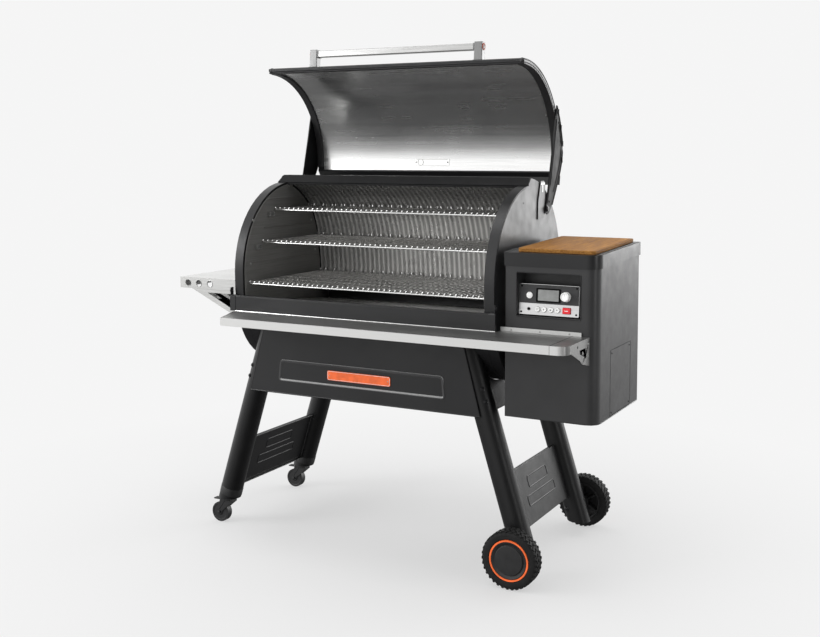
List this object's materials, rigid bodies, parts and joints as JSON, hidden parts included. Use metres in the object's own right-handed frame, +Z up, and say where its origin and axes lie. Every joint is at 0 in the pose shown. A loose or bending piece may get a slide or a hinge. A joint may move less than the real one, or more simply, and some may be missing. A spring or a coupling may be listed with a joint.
{
  "type": "pellet smoker grill",
  "caption": "Barrel grill on splayed legs with an open hinged lid, wire grates, side pellet hopper with wooden board, steel shelves, wheels and casters.",
  "frame": {"origin": "on the floor, under the centre of the bounding box with the lid open", "axes": "+Z up, -Y towards the cook at the front, +X towards the pellet hopper"},
  "size_m": [1.503, 0.8004, 1.6263],
  "materials": {
    "powder_coat_black": "fine-textured satin black powder coat",
    "porcelain_charcoal": "smooth dark enamel with a soft sheen",
    "brushed_stainless": "long-grain brushed stainless steel",
    "bright_stainless": "bright fine-brushed stainless steel",
    "grate_steel": "dark plated wire with bright cut ends",
    "seal_fibre": "matt black braided seal",
    "tyre_rubber": "matt black rubber with a knobbed tread",
    "hub_plastic": "satin black moulded plastic",
    "plate_orange": "satin orange enamel",
    "bamboo": "oiled bamboo strips",
    "panel_silver": "satin silver and dark grey panel",
    "key_white": "satin white moulded keys",
    "key_red": "satin red moulded key"
  },
  "bodies": {
    "grill": {"access_panel": "powder_coat_black", "auger_motor": "powder_coat_black", "auger_tube": "brushed_stainless", "back_liner": "brushed_stainless", "barrel_shell": "powder_coat_black", "control_panel": "panel_silver", "drip_tray": "brushed_stainless", "end_panel_left": "powder_coat_black", "end_panel_right": "powder_coat_black", "end_plate_left": "powder_coat_black", "end_plate_right": "powder_coat_black", "exhaust_duct": "powder_coat_black", "firepot": "powder_coat_black", "front_apron": "powder_coat_black", "front_lip": "powder_coat_black", "front_shelf": "brushed_stainless", "header_bar": "powder_coat_black", "heat_baffle": "powder_coat_black", "hopper_body": "powder_coat_black", "inner_wall_left": "porcelain_charcoal", "inner_wall_right": "porcelain_charcoal", "left_shelf": "brushed_stainless", "leg_front_left": "powder_coat_black", "leg_front_right": "powder_coat_black", "leg_rear_left": "powder_coat_black", "leg_rear_right": "powder_coat_black", "name_plate": "plate_orange", "pellet_chute": "brushed_stainless"},
    "lid": {"lid_shell": "powder_coat_black", "lid_liner": "bright_stainless", "lid_seal": "seal_fibre", "lid_wing_left": "powder_coat_black", "lid_wing_right": "powder_coat_black", "handle_bar": "brushed_stainless", "handle_post_left": "panel_silver", "handle_post_right": "panel_silver"},
    "hopper_lid": {"hopper_lid": "powder_coat_black"},
    "cutting_board": {"cutting_board": "bamboo"},
    "grate_bottom": {"grate_bottom": "grate_steel"},
    "grate_middle": {"grate_middle": "grate_steel"},
    "grate_top": {"grate_top": "grate_steel"},
    "grease_bucket": {"grease_bucket": "brushed_stainless"},
    "auger": {"auger": "brushed_stainless"},
    "fan_impeller": {"fan_impeller": "brushed_stainless"},
    "wheel_front": {"tyre_front": "tyre_rubber", "hub_front": "hub_plastic"},
    "wheel_rear": {"tyre_rear": "tyre_rubber", "hub_rear": "hub_plastic"},
    "caster_front": {"caster_fork_front": "hub_plastic"},
    "caster_rear": {"caster_fork_rear": "hub_plastic"},
    "caster_wheel_front": {"caster_wheel_front": "hub_plastic"},
    "caster_wheel_rear": {"caster_wheel_rear": "hub_plastic"},
    "brake_lever_front": {"brake_lever_front": "hub_plastic"},
    "brake_lever_rear": {"brake_lever_rear": "hub_plastic"},
    "dial": {"dial": "key_white"},
    "key_1": {"key_1": "key_white"},
    "key_2": {"key_2": "key_white"},
    "key_3": {"key_3": "key_white"},
    "key_4": {"key_4": "key_white"},
    "red_key": {"red_key": "key_red"}
  },
  "joints": [
    {"name": "lid_hinge", "type": "hinge", "parent": "grill", "child": "lid", "pos_m": [-0.0345, 0.17375, 1.095], "axis": [-1, 0, 0], "range_deg": [-102, 0]},
    {"name": "hopper_lid_hinge", "type": "hinge", "parent": "grill", "child": "hopper_lid", "pos_m": [0.6055, 0.19975, 0.943], "axis": [-1, 0, 0], "range_deg": [0, 85]},
    {"name": "board_lift", "type": "slide", "parent": "hopper_lid", "child": "cutting_board", "axis": [0, 0, 1], "range_m": [0, 0.06]},
    {"name": "grate_bottom_pull", "type": "slide", "parent": "grill", "child": "grate_bottom", "axis": [0, -1, 0], "range_m": [0, 0.2]},
    {"name": "grate_middle_pull", "type": "slide", "parent": "grill", "child": "grate_middle", "axis": [0, -1, 0], "range_m": [0, 0.18]},
    {"name": "grate_top_pull", "type": "slide", "parent": "grill", "child": "grate_top", "axis": [0, -1, 0], "range_m": [0, 0.14]},
    {"name": "bucket_lift", "type": "slide", "parent": "grill", "child": "grease_bucket", "axis": [0, 0, 1], "range_m": [0, 0.015]},
    {"name": "auger_spin", "type": "hinge", "parent": "grill", "child": "auger", "pos_m": [0.2655, 0.07575, 0.64], "axis": [1, 0, 0], "continuous": true},
    {"name": "fan_spin", "type": "hinge", "parent": "grill", "child": "fan_impeller", "pos_m": [0.6005, -0.11425, 0.52], "axis": [0, 0, 1], "continuous": true},
    {"name": "wheel_front_spin", "type": "hinge", "parent": "grill", "child": "wheel_front", "pos_m": [0.51202, -0.26375, 0.088], "axis": [0, 1, 0], "continuous": true},
    {"name": "caster_front_swivel", "type": "hinge", "parent": "grill", "child": "caster_front", "pos_m": [-0.5804, -0.17425, 0.06], "axis": [0, 0, 1], "continuous": true},
    {"name": "caster_wheel_front_spin", "type": "hinge", "parent": "caster_front", "child": "caster_wheel_front", "pos_m": [-0.6144, -0.17425, 0.034], "axis": [0, 1, 0], "continuous": true},
    {"name": "brake_lever_front_press", "type": "hinge", "parent": "caster_front", "child": "brake_lever_front", "pos_m": [-0.6149, -0.17425, 0.078], "axis": [0, -1, 0], "range_deg": [0, 12]},
    {"name": "wheel_rear_spin", "type": "hinge", "parent": "grill", "child": "wheel_rear", "pos_m": [0.51202, 0.37525, 0.088], "axis": [0, 1, 0], "continuous": true},
    {"name": "caster_rear_swivel", "type": "hinge", "parent": "grill", "child": "caster_rear", "pos_m": [-0.5804, 0.28575, 0.06], "axis": [0, 0, 1], "continuous": true},
    {"name": "caster_wheel_rear_spin", "type": "hinge", "parent": "caster_rear", "child": "caster_wheel_rear", "pos_m": [-0.6144, 0.28575, 0.034], "axis": [0, 1, 0], "continuous": true},
    {"name": "brake_lever_rear_press", "type": "hinge", "parent": "caster_rear", "child": "brake_lever_rear", "pos_m": [-0.6149, 0.28575, 0.078], "axis": [0, -1, 0], "range_deg": [0, 12]},
    {"name": "dial_turn", "type": "hinge", "parent": "grill", "child": "dial", "pos_m": [0.6479, -0.19325, 0.8608], "axis": [0, -0.9962, 0.0872], "continuous": true},
    {"name": "key_1_press", "type": "slide", "parent": "grill", "child": "key_1", "axis": [0, 0.9962, -0.0872], "range_m": [0, 0.0015], "stiffness_N_per_m": 250},
    {"name": "key_2_press", "type": "slide", "parent": "grill", "child": "key_2", "axis": [0, 0.9962, -0.0872], "range_m": [0, 0.0015], "stiffness_N_per_m": 250},
    {"name": "key_3_press", "type": "slide", "parent": "grill", "child": "key_3", "axis": [0, 0.9962, -0.0872], "range_m": [0, 0.0015], "stiffness_N_per_m": 250},
    {"name": "key_4_press", "type": "slide", "parent": "grill", "child": "key_4", "axis": [0, 0.9962, -0.0872], "range_m": [0, 0.0015], "stiffness_N_per_m": 250},
    {"name": "red_key_press", "type": "slide", "parent": "grill", "child": "red_key", "axis": [0, 0.9962, -0.0872], "range_m": [0, 0.0015], "stiffness_N_per_m": 300}
  ]
}
